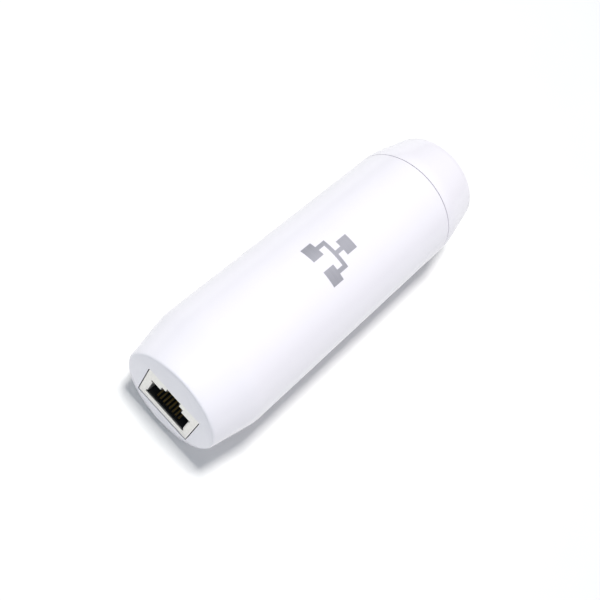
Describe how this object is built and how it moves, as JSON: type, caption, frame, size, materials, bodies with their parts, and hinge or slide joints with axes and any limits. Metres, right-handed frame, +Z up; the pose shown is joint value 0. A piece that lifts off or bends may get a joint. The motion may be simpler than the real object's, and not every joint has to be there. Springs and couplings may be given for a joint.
{
  "type": "inline network power adapter",
  "caption": "Round white inline adapter with a shielded network socket in each end, a pull-off end cap and an isolated power converter on a board inside.",
  "frame": {"origin": "middle of the underside of the tube, on the surface that it rests on", "axes": "+Z up, Y along the tube with the front socket facing -Y and the end cap at +Y, X across"},
  "size_m": [0.032, 0.1, 0.032],
  "materials": {
    "white_shell": "smooth gloss",
    "silver_mark": "satin silver",
    "board_laminate": "solder mask over glass laminate",
    "tinned_sheet": "bright plated sheet",
    "black_insulator": "moulded",
    "gold_contact": "gold plated",
    "black_moulding": "moulded, fine texture",
    "tinned_lead": "tinned",
    "ferrite": "ground ferrite",
    "winding_tape": "polyester tape",
    "aluminium_can": "drawn can",
    "copper_wire": "enamelled copper",
    "ceramic_chip": "fired ceramic"
  },
  "bodies": {
    "housing": {"housing_sleeve": "white_shell", "badge_inlay": "silver_mark", "circuit_board": "board_laminate", "front_socket_shield": "tinned_sheet", "front_socket_body": "black_insulator", "front_socket_pins": "gold_contact", "rear_socket_shield": "tinned_sheet", "rear_socket_body": "black_insulator", "rear_socket_pins": "gold_contact", "front_line_transformer": "black_moulding", "front_line_transformer_leads": "tinned_lead", "rear_line_transformer": "black_moulding", "rear_line_transformer_leads": "tinned_lead", "power_transformer_core": "ferrite", "power_transformer_bobbin": "black_insulator", "power_transformer_winding": "winding_tape", "power_transformer_pins": "tinned_lead", "input_capacitor_can": "aluminium_can", "input_capacitor_base": "black_insulator", "output_capacitor_cans": "aluminium_can", "output_capacitor_bases": "black_insulator", "capacitor_terminals": "tinned_lead", "bridge_rectifiers": "black_moulding", "bridge_rectifier_leads": "tinned_lead", "controller_chip": "black_moulding", "controller_chip_leads": "tinned_lead", "power_transistor": "black_moulding", "power_transistor_leads": "tinned_lead", "optocoupler": "black_moulding", "optocoupler_leads": "tinned_lead", "surge_suppressor": "black_moulding", "surge_suppressor_leads": "tinned_lead", "output_diode": "black_moulding", "output_diode_leads": "tinned_lead", "filter_inductor_core": "ferrite", "filter_inductor_winding": "copper_wire", "chip_resistors": "black_moulding", "chip_capacitors": "ceramic_chip", "chip_end_caps": "tinned_lead"},
    "cap": {"end_cap": "white_shell"},
    "front_contacts": {"front_socket_contacts": "gold_contact"},
    "rear_contacts": {"rear_socket_contacts": "gold_contact"}
  },
  "joints": [
    {"name": "cap_pull", "type": "slide", "parent": "housing", "child": "cap", "axis": [0, 1, 0], "range_m": [0, 0.024]},
    {"name": "front_contacts_flex", "type": "hinge", "parent": "housing", "child": "front_contacts", "pos_m": [0, -0.04855, 0.01], "axis": [-1, 0, 0], "range_deg": [0, 12], "stiffness_Nm_per_rad": 0.3},
    {"name": "rear_contacts_flex", "type": "hinge", "parent": "housing", "child": "rear_contacts", "pos_m": [0, 0.04855, 0.01], "axis": [1, 0, 0], "range_deg": [0, 12], "stiffness_Nm_per_rad": 0.3}
  ]
}
